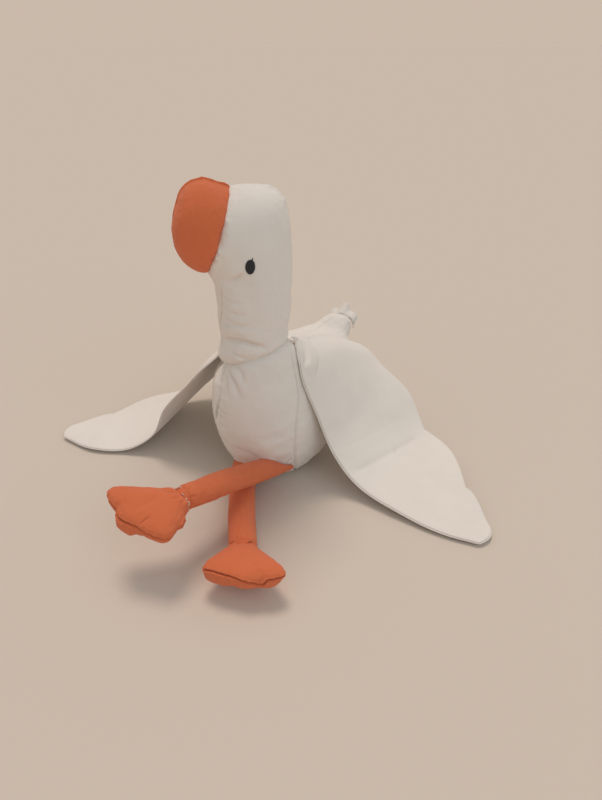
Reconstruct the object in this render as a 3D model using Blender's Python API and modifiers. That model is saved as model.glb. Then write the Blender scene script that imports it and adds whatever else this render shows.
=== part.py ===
"""Plush goose, sitting with its wings spread and its legs crossed.

Every stuffed member is one closed solid: its sewn cover and its fibre filling. The goose faces -Y, its left
is +X, and it sits on Z = 0. The origin is on the floor, under the middle of the body.
"""

import math

import bmesh
import bpy
from mathutils import Matrix, Vector
from mathutils.bvhtree import BVHTree

MM = 0.001
SEAT_GAP = 0.3  # between two members that are sewn together

# Body, in millimetres. Each rib runs from the belly line to the back line of the side view.
COLLAR_CENTRE = (1.0, -26.6, 92.0)
COLLAR_RADIUS = 21.0
COLLAR_SIDE_SLOPE = 0.40
COLLAR_BACK_SLOPE = 0.06
COLLAR_ROUNDING = 2.5
BODY_HALF_WIDTH = 39.0
BODY_FRONT_Y = -51.0
BODY_BELLY_SINK = 3.0
BODY_BACK_Z = 79.0
BODY_REAR_Y = 62.0
TAIL_ROOT = (16.0, 73.0, 74.5)
TAIL_ROOT_HALF_WIDTH = 11.5
TAIL_ROOT_HALF_HEIGHT = 6.0
BODY_RIBS = 24
BODY_SEGMENTS = 40
LEFT_SEAM_SEGMENT = 8
RIGHT_SEAM_SEGMENT = 36
LEFT_SEAM_TURNS_DEG = (86.0, 80.0, 56.0, 48.0, 60.0, 84.0, 90.0, 90.0)  # from the belly line
SEAM_DEPTH = 1.0
SEAM_SPREAD_DEG = 3.5

# Head and neck. Heights above the floor, and distances ahead of the neck's own axis.
NECK_TURN_DEG = 31.0
HEAD_TURN_DEG = 56.0
HEAD_CROWN_Z = 187.0
HEAD_BACK_OUT = 23.2
HEAD_HALF_WIDTH = 22.6
NECK_HALF_WIDTH = 22.0
BEAK_BASE_TOP = (9.0, 187.0)
BEAK_BASE_BOTTOM = (25.0, 141.0)
THROAT_OUT = 21.0
NECK_ROLL = 1.1
HEAD_RIBS = 24
HEAD_SEGMENTS = 32

# Beak.
BEAK_TIP = (41.0, 167.0)
BEAK_HUMP = (24.0, 191.3)
BEAK_JAW = (36.5, 148.5)
BEAK_HALF_WIDTH = 21.0
BEAK_RIBS = 11

# Eyes, satin-stitched dots on the sides of the head.
EYE_AHEAD = 2.4
EYE_Z = 150.6
EYE_WIDTH = 5.2
EYE_HEIGHT = 7.4
EYE_THICKNESS = 0.7

# Wings, two layers of cloth sewn together and turned. Each line runs from the shoulder to the tip.
WING_THICKNESS = 2.2
WING_CLEARANCE = 0.9
WING_SPAN_STEPS = 36
WING_CHORD_STEPS = 8
WING_LOBE_DEPTH = 6.0
WING_NOTCHES = (0.0, 0.571, 0.857, 1.0)
WING_TIP_OUT = 152.0
LEFT_WING = (
    ((19.5, -18, 98), (28.5, -24, 80), (39.3, -22.7, 54), (51.5, -23.4, 28), (69.3, -26.7, 11),
     (97, -33.6, 5.3), (124, -38.6, 3.2), (147.5, -38.6, 2.4)),
    ((20, 9, 89), (35, 13, 80.5), (46, 15, 62), (61, 15, 37), (79.5, 10, 16),
     (105, -3, 9), (128, -19, 5.5), (152, -31, 2.8)),
    ((22, 32, 81), (41, 49.5, 67), (55.5, 51, 52.3), (75, 54, 34.5), (93, 45, 15), (114, 27, 10), (131.5, 3, 6),
     (151.5, -23, 2.8)),
)
RIGHT_WING = (
    ((-22.5, -21, 86), (-31, -36, 77.5), (-48, -33, 59), (-65, -37, 39), (-77, -39, 16), (-95, -47, 4.4),
     (-120, -55, 2.8), (-147, -52, 2.4)),
    ((-21, 7, 86), (-37, 11, 79), (-49, 9, 63), (-66, 5, 39), (-85, -3, 18), (-107, -19, 8), (-129, -34, 5),
     (-152, -45, 2.8)),
    ((-21, 29, 81), (-41, 50, 67), (-58, 51, 51), (-76, 46, 33), (-96, 31, 15), (-116, 7, 10), (-132, -16, 5),
     (-152, -38, 2.8)),
)

# Tail tuft, a small gathered flap.
TUFT_LENGTH = 8.5
TUFT_HALF_WIDTH = 10.5
TUFT_ARCH = 5.0
TUFT_PLEAT = 1.2
TUFT_THICKNESS = 2.0

# Legs and feet. A foot's rim runs from the heel to the middle toe: distance ahead, then sideways.
LEFT_LEG_RADIUS = 7.6
RIGHT_LEG_RADIUS = 8.5
LEG_SIDES = 14
LEG_RIBS = 11
LEFT_LEG_PATH = ((19, -28, 14), (13, -54, 23), (5, -82, 31.7), (-3.8, -109, 38.3))
RIGHT_LEG_PATH = ((-9, -28, 10.5), (1, -53, 9.6), (15, -79, 9.2), (29.5, -104, 9.2))
FOOT_LENGTH = 33.0
FOOT_RIM = ((-1, 0), (-0.5, 7), (5, 10), (11, 14.5), (17, 18.5), (22, 21.8), (26.5, 22), (29.2, 18),
            (31.2, 12.5), (31.2, 7.5), (32.6, 4), (33, 0))
FOOT_HALF_THICKNESS = 8.0
FOOT_SOLE_SHARE = 1.55  # how much deeper the sole is than the top
LEFT_FOOT_AHEAD = (-0.50, -0.866, 0.08)
LEFT_FOOT_ACROSS = (-0.93, 0.20, 0.27)
RIGHT_FOOT_AHEAD = (0.50, -0.826, 0.31)
RIGHT_FOOT_ACROSS = (0.949, 0.315, 0.02)

# Hand sewing.
THREAD_RADIUS = 0.4
THREAD_CLEARANCE = 0.2
CLOSING_TOP = (-16.3, -47.0, 62.0)
CLOSING_BOTTOM = (-22.0, -42.5, 47.0)
CLOSING_ACROSS = (0.84, -0.33, -0.42)
CLOSING_HALF_WIDTH = 1.5
CLOSING_POINTS = 11
CLOSING_CLEARANCE = 0.45


def clear_scene():
    for thing in list(bpy.data.objects):
        bpy.data.objects.remove(thing, do_unlink=True)


def collection(name):
    made = bpy.data.collections.new(name)
    bpy.context.scene.collection.children.link(made)
    return made


def cloth(name, colour, roughness):
    material = bpy.data.materials.new(name)
    material.use_nodes = True
    shader = material.node_tree.nodes["Principled BSDF"]
    shader.inputs["Base Color"].default_value = (*colour, 1.0)
    shader.inputs["Roughness"].default_value = roughness
    shader.inputs["Metallic"].default_value = 0.0
    material.diffuse_color = (*colour, 1.0)
    return material


def along(points, t):
    """The point at t, from 0 to 1, of a smooth curve through evenly spaced points."""
    points = [Vector(p) for p in points]
    place = min(max(t, 0.0), 1.0) * (len(points) - 1)
    i = min(int(place), len(points) - 2)
    s = place - i
    p1, p2 = points[i], points[i + 1]
    p0 = points[i - 1] if i > 0 else p1 * 2 - p2
    p3 = points[i + 2] if i + 2 < len(points) else p2 * 2 - p1
    a = p1 * 2
    b = (p2 - p0) * s
    c = (p0 * 2 - p1 * 5 + p2 * 4 - p3) * s * s
    d = (p1 * 3 - p0 - p2 * 3 + p3) * s * s * s
    return (a + b + c + d) * 0.5


def rib(low, high, side, half_width, fullness=2.2):
    """A section as (middle, half axis low to high, half axis sideways, fullness of the superellipse)."""
    low, high = Vector(low), Vector(high)
    return (low + high) / 2, (high - low) / 2, Vector(side).normalized() * half_width, fullness


def ring_turns(points, seams):
    """The turn of each point of a ring, evenly spread between its seams, with a close pair beside each seam.

    seams holds (which point, its turn in degrees).
    """
    stops = sorted(seams)
    stops = stops + [(stops[0][0] + points, stops[0][1] + 360.0)]
    turns = [0.0] * points
    for (first, low), (last, high) in zip(stops, stops[1:]):
        for i in range(first, last):
            turn = low + (high - low) * (i - first) / (last - first)
            if i == first + 1:
                turn = low + SEAM_SPREAD_DEG
            elif i == last - 1:
                turn = high - SEAM_SPREAD_DEG
            turns[i % points] = math.radians(turn)
    return turns


def loft(name, ribs, points, material, keeper, seams=None, seam_depth=0.0):
    """A closed skin over the ribs, whose first point lies at a rib's low end. seams(number) gives its seams."""
    mesh = bmesh.new()
    loops = []
    for number, (middle, up, side, fullness) in enumerate(ribs):
        ring = bmesh.ops.create_circle(mesh, cap_ends=False, segments=points, radius=1.0)["verts"]
        found = seams(number) if seams else ()
        turns = ring_turns(points, found) if found else [math.tau * i / points for i in range(points)]
        sunk = [point for point, _ in found]
        for i, vert in enumerate(ring):
            c, s = math.cos(turns[i]), math.sin(turns[i])
            shrink = (abs(c) ** fullness + abs(s) ** fullness) ** (-1 / fullness)
            place = middle - up * c * shrink + side * s * shrink
            if i in sunk:
                place += (middle - place).normalized() * seam_depth
            vert.co = place * MM
        loops.append(list({edge for vert in ring for edge in vert.link_edges}))
    for first, second in zip(loops, loops[1:]):
        bmesh.ops.bridge_loops(mesh, edges=first + second)
    for end in (loops[0], loops[-1]):
        bmesh.ops.contextual_create(mesh, geom=end)
    bmesh.ops.recalc_face_normals(mesh, faces=mesh.faces)
    return keep(name, mesh, material, keeper)


def keep(name, mesh, material, keeper):
    data = bpy.data.meshes.new(name)
    mesh.to_mesh(data)
    mesh.free()
    data.materials.append(material)
    data.shade_smooth()
    made = bpy.data.objects.new(name, data)
    keeper.objects.link(made)
    return made


def evaluated_copy(thing, name, keeper, swell=0.0):
    """A plain mesh copy of a finished member, swollen along its normals by some millimetres."""
    bpy.context.view_layer.update()
    graph = bpy.context.evaluated_depsgraph_get()
    data = bpy.data.meshes.new_from_object(thing.evaluated_get(graph))
    normals = [vert.normal.copy() for vert in data.vertices]
    for vert, normal in zip(data.vertices, normals):
        vert.co += normal * swell * MM
    made = bpy.data.objects.new(name, data)
    made.matrix_world = thing.matrix_world
    keeper.objects.link(made)
    return made


def cut(thing, cutter):
    cutter.hide_render = True
    cutter.display_type = "WIRE"
    trim = thing.modifiers.new("trim", "BOOLEAN")
    trim.operation = "DIFFERENCE"
    trim.solver = "EXACT"
    trim.object = cutter


def collar(side, back, lift=0.0, radius=None):
    """A point of the collar's tilted ring: side and back are its directions from the centre, -1 to 1."""
    reach = (COLLAR_RADIUS if radius is None else radius)
    flat = Vector((side, back, side * COLLAR_SIDE_SLOPE + back * COLLAR_BACK_SLOPE)) * reach
    return Vector(COLLAR_CENTRE) + flat + collar_up() * lift


def collar_up():
    return Vector((-COLLAR_SIDE_SLOPE, -COLLAR_BACK_SLOPE, 1.0)).normalized()


def collar_rib(lift, radius):
    low, high = collar(0, -1, lift, radius), collar(0, 1, lift, radius)
    side = collar(1, 0, lift, radius) - (low + high) / 2
    return rib(low, high, side, side.length, 2.0)


def make_body(white, keeper, tools):
    start_low, start_high = collar(0, -1, -COLLAR_ROUNDING), collar(0, 1, -COLLAR_ROUNDING)
    tail_x, tail_y, tail_z = TAIL_ROOT
    belly = [
        start_low,
        (0, BODY_FRONT_Y, 62),
        (0, BODY_FRONT_Y + 5, 27),
        (0, BODY_FRONT_Y + 25, 1 - BODY_BELLY_SINK),
        (0, 10, -BODY_BELLY_SINK),
        (2, 44, 11),
        (tail_x * 0.55, tail_y - 13, tail_z * 0.55),
        (tail_x, tail_y + 2, tail_z - TAIL_ROOT_HALF_HEIGHT),
    ]
    spine = [
        start_high,
        (1, 11, BODY_BACK_Z + 10.5),
        (2, 27, BODY_BACK_Z + 3),
        (3, 40, BODY_BACK_Z - 3),
        (5, 51, BODY_BACK_Z - 5.5),
        (9, BODY_REAR_Y - 1, BODY_BACK_Z - 4.5),
        (tail_x * 0.8, tail_y - 6, tail_z + TAIL_ROOT_HALF_HEIGHT - 2),
        (tail_x, tail_y, tail_z + TAIL_ROOT_HALF_HEIGHT),
    ]
    wide = BODY_HALF_WIDTH
    shares = (0.76, 0.96, 1.04, 1.0, 0.78, 0.43)
    widths = [COLLAR_RADIUS, *(wide * share for share in shares), TAIL_ROOT_HALF_WIDTH]
    stations = [
        (width, COLLAR_SIDE_SLOPE * max(0, 1 - 2 * i), turn)
        for i, (width, turn) in enumerate(zip(widths, LEFT_SEAM_TURNS_DEG))
    ]
    ribs = [collar_rib(-SEAT_GAP / 2, COLLAR_RADIUS - COLLAR_ROUNDING)]
    left_turns = [LEFT_SEAM_TURNS_DEG[0]]
    for i in range(BODY_RIBS):
        t = i / (BODY_RIBS - 1)
        full = 2.0 + 0.15 * math.sin(math.pi * t)
        half_width, tilt, turn = along(stations, t)
        tilt = max(tilt, 0)
        half_width *= math.hypot(1, tilt)
        ribs.append(rib(along(belly, t), along(spine, t), (1, 0, tilt), half_width, full))
        left_turns.append(turn)
    last_low, last_high = along(belly, 1.0), along(spine, 1.0)
    out = Vector((0, 1, 0.25)).normalized() * 2.0
    shrink = (last_high - last_low) * 0.2
    end_width = TAIL_ROOT_HALF_WIDTH * 0.7
    ribs.append(rib(last_low + out + shrink, last_high + out - shrink, (1, 0, 0), end_width, 2.0))
    left_turns.append(LEFT_SEAM_TURNS_DEG[-1])
    right_turn = 360.0 * RIGHT_SEAM_SEGMENT / BODY_SEGMENTS

    def seams(number):
        return (LEFT_SEAM_SEGMENT, left_turns[number]), (RIGHT_SEAM_SEGMENT, right_turn)

    body = loft("body", ribs, BODY_SEGMENTS, white, keeper, seams, SEAM_DEPTH)
    floor = bmesh.new()
    below = Matrix.Diagonal((0.4, 0.4, 0.1, 1.0)) @ Matrix.Translation((0, 0, -0.5))
    bmesh.ops.create_cube(floor, size=1.0, matrix=below)
    cut(body, keep("floor_cutter", floor, white, tools))
    return body


def head_axes(turn_deg):
    turn = math.radians(turn_deg)
    ahead = Vector((-math.sin(turn), -math.cos(turn), 0))
    return ahead, Vector((-ahead.y, ahead.x, 0))


def head_point(out, z, turn_deg):
    ahead, _ = head_axes(turn_deg)
    return Vector((COLLAR_CENTRE[0] - 1, COLLAR_CENTRE[1] - 0.4, z)) + ahead * out


def make_head_neck(white, keeper):
    """The neck rises from the collar, then the ribs swing forward over the crown to the base of the beak."""
    ribs = [
        collar_rib(SEAT_GAP / 2, COLLAR_RADIUS - COLLAR_ROUNDING),
        collar_rib(COLLAR_ROUNDING, COLLAR_RADIUS),
        collar_rib(COLLAR_ROUNDING + 4.0, COLLAR_RADIUS + NECK_ROLL * 0.5),
    ]
    back = HEAD_BACK_OUT
    stations = (
        (THROAT_OUT - 1.6, 103.0, -COLLAR_RADIUS - 0.6, 111.0, NECK_HALF_WIDTH - 0.6),
        (THROAT_OUT - 0.2, 113.5, -back + 0.6, 124.0, NECK_HALF_WIDTH),
        (THROAT_OUT, 122.0, -back, 140.0, NECK_HALF_WIDTH + 0.4),
        (THROAT_OUT + 0.3, 130.5, -back, 155.0, HEAD_HALF_WIDTH),
        (THROAT_OUT + 1.0, 135.5, -back + 1.2, 170.0, HEAD_HALF_WIDTH),
        (23.2, 138.2, -back + 4.6, 181.3, HEAD_HALF_WIDTH - 0.3),
        (24.2, 139.8, -back + 12.0, HEAD_CROWN_Z - 0.6, HEAD_HALF_WIDTH - 0.8),
        (24.8, 140.6, -1.0, HEAD_CROWN_Z + 0.2, BEAK_HALF_WIDTH + 0.5),
        (BEAK_BASE_BOTTOM[0], BEAK_BASE_BOTTOM[1], BEAK_BASE_TOP[0], BEAK_BASE_TOP[1], BEAK_HALF_WIDTH),
    )
    lows = [(s[0], s[1], s[4]) for s in stations]
    highs = [(s[2], s[3], 0.0) for s in stations]
    for i in range(HEAD_RIBS):
        t = i / (HEAD_RIBS - 1)
        low, high = along(lows, t), along(highs, t)
        turn = NECK_TURN_DEG + (HEAD_TURN_DEG - NECK_TURN_DEG) * min(1.0, t * 1.6)
        _, side = head_axes(turn)
        side = side + Vector((0, 0, COLLAR_SIDE_SLOPE * max(0.0, 0.75 - t * 4)))
        ends = head_point(low.x, low.y, turn), head_point(high.x, high.y, turn)
        ribs.append(rib(*ends, side, low.z * side.length, 2.1))
    return loft("head_neck", ribs, HEAD_SEGMENTS, white, keeper, middle_seams, -SEAM_DEPTH * 0.5)


def middle_seams(number):
    """The seams along the middle of the head and the beak, below and above."""
    return (0, 0.0), (HEAD_SEGMENTS // 2, 180.0)


def make_beak(orange, keeper):
    lower = [BEAK_BASE_BOTTOM, (31.5, 143.5), BEAK_JAW, (40.0, 156.0), BEAK_TIP]
    upper = [BEAK_BASE_TOP, (16.5, 189.5), BEAK_HUMP, (34.5, 186.0), BEAK_TIP]
    ahead, side = head_axes(HEAD_TURN_DEG)
    base = head_point(*BEAK_BASE_TOP, HEAD_TURN_DEG) - head_point(*BEAK_BASE_BOTTOM, HEAD_TURN_DEG)
    normal = side.cross(base).normalized()
    if normal.dot(ahead) < 0:
        normal = -normal
    ribs = []
    for i in range(BEAK_RIBS):
        t = i / (BEAK_RIBS - 1) * 0.97
        low, high = (along([Vector((*p, 0)) for p in line], t) for line in (lower, upper))
        half = BEAK_HALF_WIDTH * math.sqrt(1 - t ** 2.4)
        ends = [head_point(p.x, p.y, HEAD_TURN_DEG) + normal * SEAT_GAP for p in (low, high)]
        ribs.append(rib(*ends, side, half, 2.0))
    return loft("beak", ribs, HEAD_SEGMENTS, orange, keeper, middle_seams, -SEAM_DEPTH)


def make_eye(name, head, sign, black, keeper, tools):
    ahead, side = head_axes(HEAD_TURN_DEG)
    centre = head_point(EYE_AHEAD, EYE_Z, HEAD_TURN_DEG)
    outward = side * sign
    graph = bpy.context.evaluated_depsgraph_get()
    skin = BVHTree.FromObject(head, graph)
    hit, normal, _, _ = skin.ray_cast((centre + outward * 60) * MM, -outward)
    facing = normal.to_track_quat("Z", "Y").to_matrix().to_4x4()
    dot = bmesh.new()
    flat = Matrix.Diagonal((EYE_WIDTH * MM / 2, EYE_HEIGHT * MM / 2, EYE_THICKNESS * MM, 1))
    shape = Matrix.Translation(hit) @ facing @ flat
    bmesh.ops.create_uvsphere(dot, u_segments=20, v_segments=10, radius=1.0, matrix=shape)
    eye = keep(name, dot, black, keeper)
    cut(eye, tools)
    return eye


def lobe(u):
    """How far the scalloped edge stands out at u: nought at each notch."""
    for low, high in zip(WING_NOTCHES, WING_NOTCHES[1:]):
        if u <= high:
            return math.sin(math.pi * (u - low) / (high - low)) ** 0.75
    return 0.0


def wing_point(lines, u, v):
    """A point of the cloth's middle surface: u from root to tip, v from leading to trailing edge."""
    spread = Vector((WING_TIP_OUT / abs(lines[1][-1][0]), 1, 1))
    front, middle, rear = (along(line, u) * spread for line in lines)
    rear = rear + (rear - front).normalized() * WING_LOBE_DEPTH * lobe(u) * min(1.0, (1 - u) * 7)
    a, b, c = (v - 0.5) * (v - 1) * 2, v * (1 - v) * 4, v * (v - 0.5) * 2
    return front * a + middle * b + rear * c


def skins(*things):
    """Search trees of the finished surfaces of some members."""
    bpy.context.view_layer.update()
    graph = bpy.context.evaluated_depsgraph_get()
    return [BVHTree.FromObject(thing, graph) for thing in things]


def clear_of(place, trees, distance):
    """The place in metres, moved out of the members until it is this many millimetres off their surfaces."""
    for _ in range(3):
        for tree in trees:
            near, normal, _, gap = tree.find_nearest(place)
            if gap < distance * MM or (place - near).dot(normal) < 0:
                place = near + normal * distance * MM
    return place


def make_wing(name, lines, members, white, keeper):
    """A flat cloth wing that lies over the shoulder, bends where it meets the floor and spreads outward."""
    trees = skins(*members)
    sheet = bmesh.new()
    bmesh.ops.create_grid(sheet, x_segments=WING_SPAN_STEPS, y_segments=WING_CHORD_STEPS, size=0.5)
    for vert in sheet.verts:
        u, v = vert.co.x + 0.5, vert.co.y + 0.5
        place = wing_point(lines, u, v) * MM
        if u < 0.01:
            place = trees[0].find_nearest(place)[0]
        vert.co = clear_of(place, trees, WING_THICKNESS / 2 + WING_CLEARANCE)
    wing = keep(name, sheet, white, keeper)
    layers = wing.modifiers.new("two_layers", "SOLIDIFY")
    layers.thickness = WING_THICKNESS * MM
    layers.offset = 0.0
    return wing


def make_tail(body, white, keeper):
    """A pleated flap that arches over the end of the rump."""
    trees = skins(body)
    sheet = bmesh.new()
    bmesh.ops.create_grid(sheet, x_segments=16, y_segments=5, size=0.5)
    root = Vector(TAIL_ROOT) + Vector((0.3, 3.0, 3.5))
    narrow = TAIL_ROOT_HALF_WIDTH * 0.8
    for vert in sheet.verts:
        s, t = vert.co.x * 2, vert.co.y + 0.5
        reach = Vector((0.15, 0.75, 0.55)) * TUFT_LENGTH * t * (1 - 0.25 * s * s)
        across = Vector((1, -0.2, 0)) * s * (narrow + (TUFT_HALF_WIDTH - narrow) * t * (1 - 0.4 * t * s * s))
        lift = TUFT_PLEAT * math.cos(3 * math.pi * s + 0.6) * t - TUFT_ARCH * s * s
        place = (root + reach + across + Vector((0, 0, lift))) * MM
        vert.co = clear_of(place, trees, TUFT_THICKNESS / 2 + WING_CLEARANCE)
    tail = keep("tail", sheet, white, keeper)
    layers = tail.modifiers.new("two_layers", "SOLIDIFY")
    layers.thickness = TUFT_THICKNESS * MM
    layers.offset = 0.0
    return tail


def make_foot(name, ankle, ahead, across, orange, keeper):
    """A webbed foot: a pillow whose seam runs round its rim, with a notch between the toes."""
    ahead, across = Vector(ahead).normalized(), Vector(across).normalized()
    up = ahead.cross(across).normalized()
    if up.z < 0:
        up = -up
    rounds = 36
    pad = bmesh.new()
    bmesh.ops.create_uvsphere(pad, u_segments=rounds, v_segments=10, radius=1.0)
    scale = FOOT_LENGTH / FOOT_RIM[-1][0]
    for vert in pad.verts:
        ring = math.hypot(vert.co.x, vert.co.y)
        turn = math.atan2(vert.co.y, vert.co.x) if ring > 1e-6 else 0.0
        heel = abs(turn) / math.pi
        out, aside = along([(*p, 0) for p in FOOT_RIM], 1 - heel).xy * scale
        middle = FOOT_LENGTH * 0.5
        place = Vector((middle + (out - middle) * ring, math.copysign(aside, turn) * ring))
        full = (0.95 if vert.co.z > 0 else 0.8) * (1 - 0.5 * heel)
        deep = FOOT_HALF_THICKNESS * (1.0 - 0.14 * (1 - heel))
        if vert.co.z < 0:
            deep *= 1.0 + (FOOT_SOLE_SHARE - 1.0) * (1 - heel)
        lift = math.copysign(abs(vert.co.z) ** full, vert.co.z) * deep
        vert.co = (Vector(ankle) + ahead * place.x + across * place.y + up * lift) * MM
    bmesh.ops.recalc_face_normals(pad, faces=pad.faces)
    return keep(name, pad, orange, keeper)


def make_leg(name, path, radius, cutters, orange, keeper):
    ribs = []
    for i in range(LEG_RIBS):
        t = i / (LEG_RIBS - 1)
        here = along(path, t)
        ahead = (along(path, min(t + 0.01, 1.0)) - along(path, max(t - 0.01, 0.0))).normalized()
        across = ahead.cross(Vector((0, 0, 1))).normalized()
        up = across.cross(ahead).normalized()
        grown = min(1.0, t * 3.0)
        half_up = radius * (0.45 + 0.55 * grown)
        half_across = radius * (1.2 - 0.2 * grown)
        ribs.append(rib(here - up * half_up, here + up * half_up, across, half_across, 2.0))
    leg = loft(name, ribs, LEG_SIDES, orange, keeper)
    for cutter in cutters:
        cut(leg, cutter)
    return leg


def make_thread(name, places, material, keeper):
    """One length of thread as a thin round tube through the places, in metres."""
    line = bpy.data.curves.new(name, "CURVE")
    line.dimensions = "3D"
    line.bevel_depth = THREAD_RADIUS * MM
    line.bevel_resolution = 1
    line.use_fill_caps = True
    run = line.splines.new("POLY")
    run.points.add(len(places) - 1)
    for point, place in zip(run.points, places):
        point.co = (*place, 1.0)
    line.materials.append(material)
    thread = bpy.data.objects.new(name, line)
    keeper.objects.link(thread)
    return thread


def make_ankle_thread(name, path, radius, members, turns, material, keeper):
    """Zigzag hand stitches over the joint of a leg and its foot, over the part of the turn given in degrees."""
    trees = skins(*members)
    end = along(path, 1.0)
    ahead = (end - along(path, 0.9)).normalized()
    across = ahead.cross(Vector((0, 0, 1))).normalized()
    up = across.cross(ahead)
    first, last, count = turns
    points = []
    for i in range(count * 2 + 1):
        for part in (0.0, 0.5):
            if i == count * 2 and part:
                break
            angle = math.radians(first + (last - first) * (i + part) / (count * 2))
            swing = (1.3 if i % 2 else -1.3) * (1 - 2 * part)
            out = (across * math.sin(angle) + up * math.cos(angle)) * (radius + 0.6)
            place = (end + ahead * (swing - 0.5) + out) * MM
            points.append(clear_of(place, trees, THREAD_RADIUS + THREAD_CLEARANCE))
    return make_thread(name, points, material, keeper)


def make_closing_thread(body, material, keeper):
    """Ladder stitches that close the seam on the right of the belly."""
    trees = skins(body)
    points = []
    for i in range(CLOSING_POINTS):
        place = Vector(CLOSING_TOP).lerp(Vector(CLOSING_BOTTOM), i / (CLOSING_POINTS - 1))
        near = trees[0].find_nearest(place * MM)[0] / MM
        swing = CLOSING_HALF_WIDTH if (i // 2) % 2 else -CLOSING_HALF_WIDTH
        place = (near + Vector(CLOSING_ACROSS) * swing) * MM
        points.append(clear_of(place, trees, THREAD_RADIUS + CLOSING_CLEARANCE))
    return make_thread("closing_thread", points, material, keeper)


def main():
    clear_scene()
    goose = collection("plush_goose")
    tools = collection("cutters")
    white = cloth("white_cotton", (0.86, 0.83, 0.78), 0.9)
    orange = cloth("orange_cotton", (0.80, 0.24, 0.07), 0.9)
    black = cloth("black_thread", (0.02, 0.02, 0.025), 0.6)
    pale = cloth("pale_thread", (0.90, 0.78, 0.72), 0.7)
    body = make_body(white, goose, tools)
    head = make_head_neck(white, goose)
    make_beak(orange, goose)
    head_cutter = evaluated_copy(head, "head_cutter", tools, SEAT_GAP)
    for name, sign in (("eye_left", 1), ("eye_right", -1)):
        make_eye(name, head, sign, black, goose, head_cutter)
    body_cutter = evaluated_copy(body, "body_cutter", tools, SEAT_GAP)
    make_wing("wing_left", LEFT_WING, (body, head), white, goose)
    make_wing("wing_right", RIGHT_WING, (body, head), white, goose)
    make_tail(body, white, goose)
    limbs = {}
    for side, path, radius, ahead, across in (
        ("left", LEFT_LEG_PATH, LEFT_LEG_RADIUS, LEFT_FOOT_AHEAD, LEFT_FOOT_ACROSS),
        ("right", RIGHT_LEG_PATH, RIGHT_LEG_RADIUS, RIGHT_FOOT_AHEAD, RIGHT_FOOT_ACROSS),
    ):
        foot = make_foot("foot_" + side, path[-1], ahead, across, orange, goose)
        foot_cutter = evaluated_copy(foot, "foot_cutter_" + side, tools, SEAT_GAP)
        leg = make_leg("leg_" + side, path, radius, (body_cutter, foot_cutter), orange, goose)
        limbs[side] = (foot, leg)
    make_closing_thread(body, pale, goose)
    for side, path, radius, turns, colour in (
        ("left", LEFT_LEG_PATH, LEFT_LEG_RADIUS, (-125, -15, 4), pale),
        ("right", RIGHT_LEG_PATH, RIGHT_LEG_RADIUS, (-75, 60, 5), orange),
    ):
        make_ankle_thread("ankle_thread_" + side, path, radius, limbs[side], turns, colour, goose)


main()
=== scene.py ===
"""Looks of the plush goose: sewn cotton covers over stuffing, flat cloth wings, seams and hand stitches."""

import math

import bmesh
import bpy
import numpy as np
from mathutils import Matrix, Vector, noise
from mathutils.bvhtree import BVHTree
from mathutils.kdtree import KDTree


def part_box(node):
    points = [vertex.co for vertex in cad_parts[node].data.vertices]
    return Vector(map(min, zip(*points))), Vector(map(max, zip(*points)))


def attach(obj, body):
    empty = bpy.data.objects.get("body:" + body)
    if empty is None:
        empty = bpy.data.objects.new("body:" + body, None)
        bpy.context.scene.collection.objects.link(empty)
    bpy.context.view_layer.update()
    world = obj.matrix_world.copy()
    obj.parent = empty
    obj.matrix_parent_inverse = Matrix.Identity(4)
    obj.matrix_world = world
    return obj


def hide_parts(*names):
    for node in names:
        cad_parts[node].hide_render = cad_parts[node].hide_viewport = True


MM = 0.001
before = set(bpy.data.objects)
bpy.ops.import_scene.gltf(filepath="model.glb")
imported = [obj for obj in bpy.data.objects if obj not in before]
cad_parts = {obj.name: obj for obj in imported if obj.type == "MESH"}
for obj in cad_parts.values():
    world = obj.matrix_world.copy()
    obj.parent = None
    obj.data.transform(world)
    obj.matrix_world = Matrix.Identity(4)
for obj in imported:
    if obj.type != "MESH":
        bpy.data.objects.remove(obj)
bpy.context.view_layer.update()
ROOT = "root"

# Lengths here are in millimetres. Those of finished meshes and of materials are in metres.

# Camera, where the photograph was taken from.
CAMERA_TURN_DEG = 24.0
CAMERA_RISE_DEG = 31.0
CAMERA_DISTANCE = 410.0
CAMERA_TARGET = (14.3, 9.0, 40.3)
CAMERA_LENS = 27.0

# Head and neck: the neck's upright axis, and how far the head turns to the goose's right.
NECK_AXIS = (0.0, -27.0)
HEAD_TURN_DEG = 56.0
BEAK_SEAM_ASIDE = 1.8

# Wings: the front, middle and rear line of each, from the root on the shoulder to the tip. The left one's are
# the solid's. The right one sags lower at its root than its solid.
WING_NOTCHES = (0.0, 0.571, 0.857, 1.0)
WING_LOBE_DEPTH = 6.0
LEFT_WING = (
    ((19.5, -18, 98), (28.5, -24, 80), (39.3, -22.7, 54), (51.5, -23.4, 28), (69.3, -26.7, 11),
     (97, -33.6, 5.3), (124, -38.6, 3.2), (147.5, -38.6, 2.4)),
    ((20, 9, 89), (35, 13, 80.5), (46, 15, 62), (61, 15, 37), (79.5, 10, 16),
     (105, -3, 9), (128, -19, 5.5), (152, -31, 2.8)),
    ((22, 32, 81), (41, 49.5, 67), (55.5, 51, 52.3), (75, 54, 34.5), (93, 45, 15),
     (114, 27, 10), (131.5, 3, 6), (151.5, -23, 2.8)),
)
RIGHT_WING = (
    ((-22.5, -21, 86), (-31, -36, 77.5), (-48, -33, 59), (-65, -37, 39), (-77, -39, 16),
     (-95, -47, 4.4), (-120, -55, 2.8), (-147, -52, 2.4)),
    ((-21, 7, 86), (-37, 11, 76), (-49, 9, 56), (-66, 5, 31.5), (-85, -3, 13.5),
     (-107, -19, 7), (-129, -34, 5), (-152, -45, 2.8)),
    ((-21, 29, 81), (-41, 50, 63), (-57, 51, 44), (-76, 46, 26), (-96, 31, 11),
     (-116, 7, 8), (-132, -16, 5), (-152, -38, 2.8)),
)
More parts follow.
